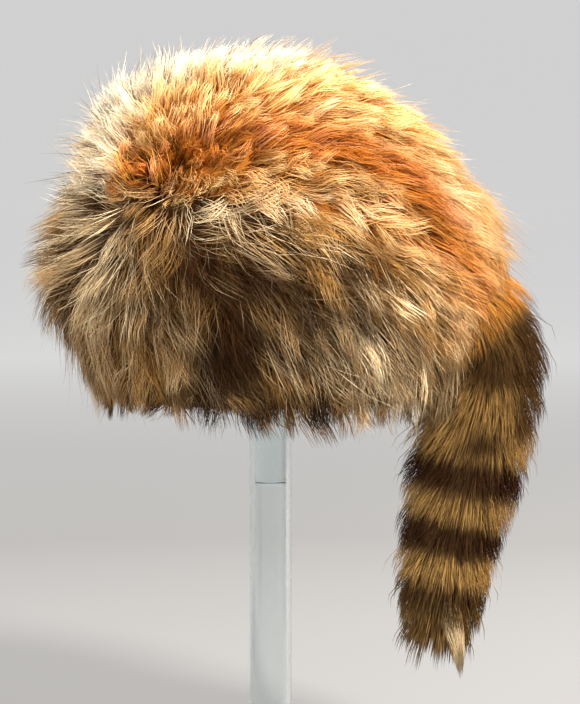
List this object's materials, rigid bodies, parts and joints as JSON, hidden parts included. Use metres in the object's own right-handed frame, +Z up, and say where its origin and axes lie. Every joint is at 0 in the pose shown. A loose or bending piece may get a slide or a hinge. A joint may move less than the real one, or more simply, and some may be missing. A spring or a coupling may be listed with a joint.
{
  "type": "coonskin cap on a display stand",
  "caption": "Fur cap with a round crown, a long-haired side band and a hanging ringed tail, on a clear tube with a round foot",
  "frame": {"origin": "the middle of the stand's underside, on the tube's axis", "axes": "+Z up along the tube, -X to the front of the cap, +X to the back where the tail hangs, Y across the head"},
  "size_m": [0.3048, 0.2244, 0.4307],
  "materials": {
    "clear_acrylic": "clear and polished",
    "leather": "tanned skin side, matt",
    "golden_fur": "soft golden and rust fur",
    "grizzled_fur": "long pale guard hair over brown underfur",
    "tail_fur": "soft fur with dark and buff rings"
  },
  "bodies": {
    "root": {"foot": "clear_acrylic", "tube": "clear_acrylic", "support_pad": "clear_acrylic", "crown_leather": "leather", "band_leather": "leather", "crown_fur": "golden_fur", "band_fur": "grizzled_fur", "tail": "tail_fur"}
  },
  "joints": []
}
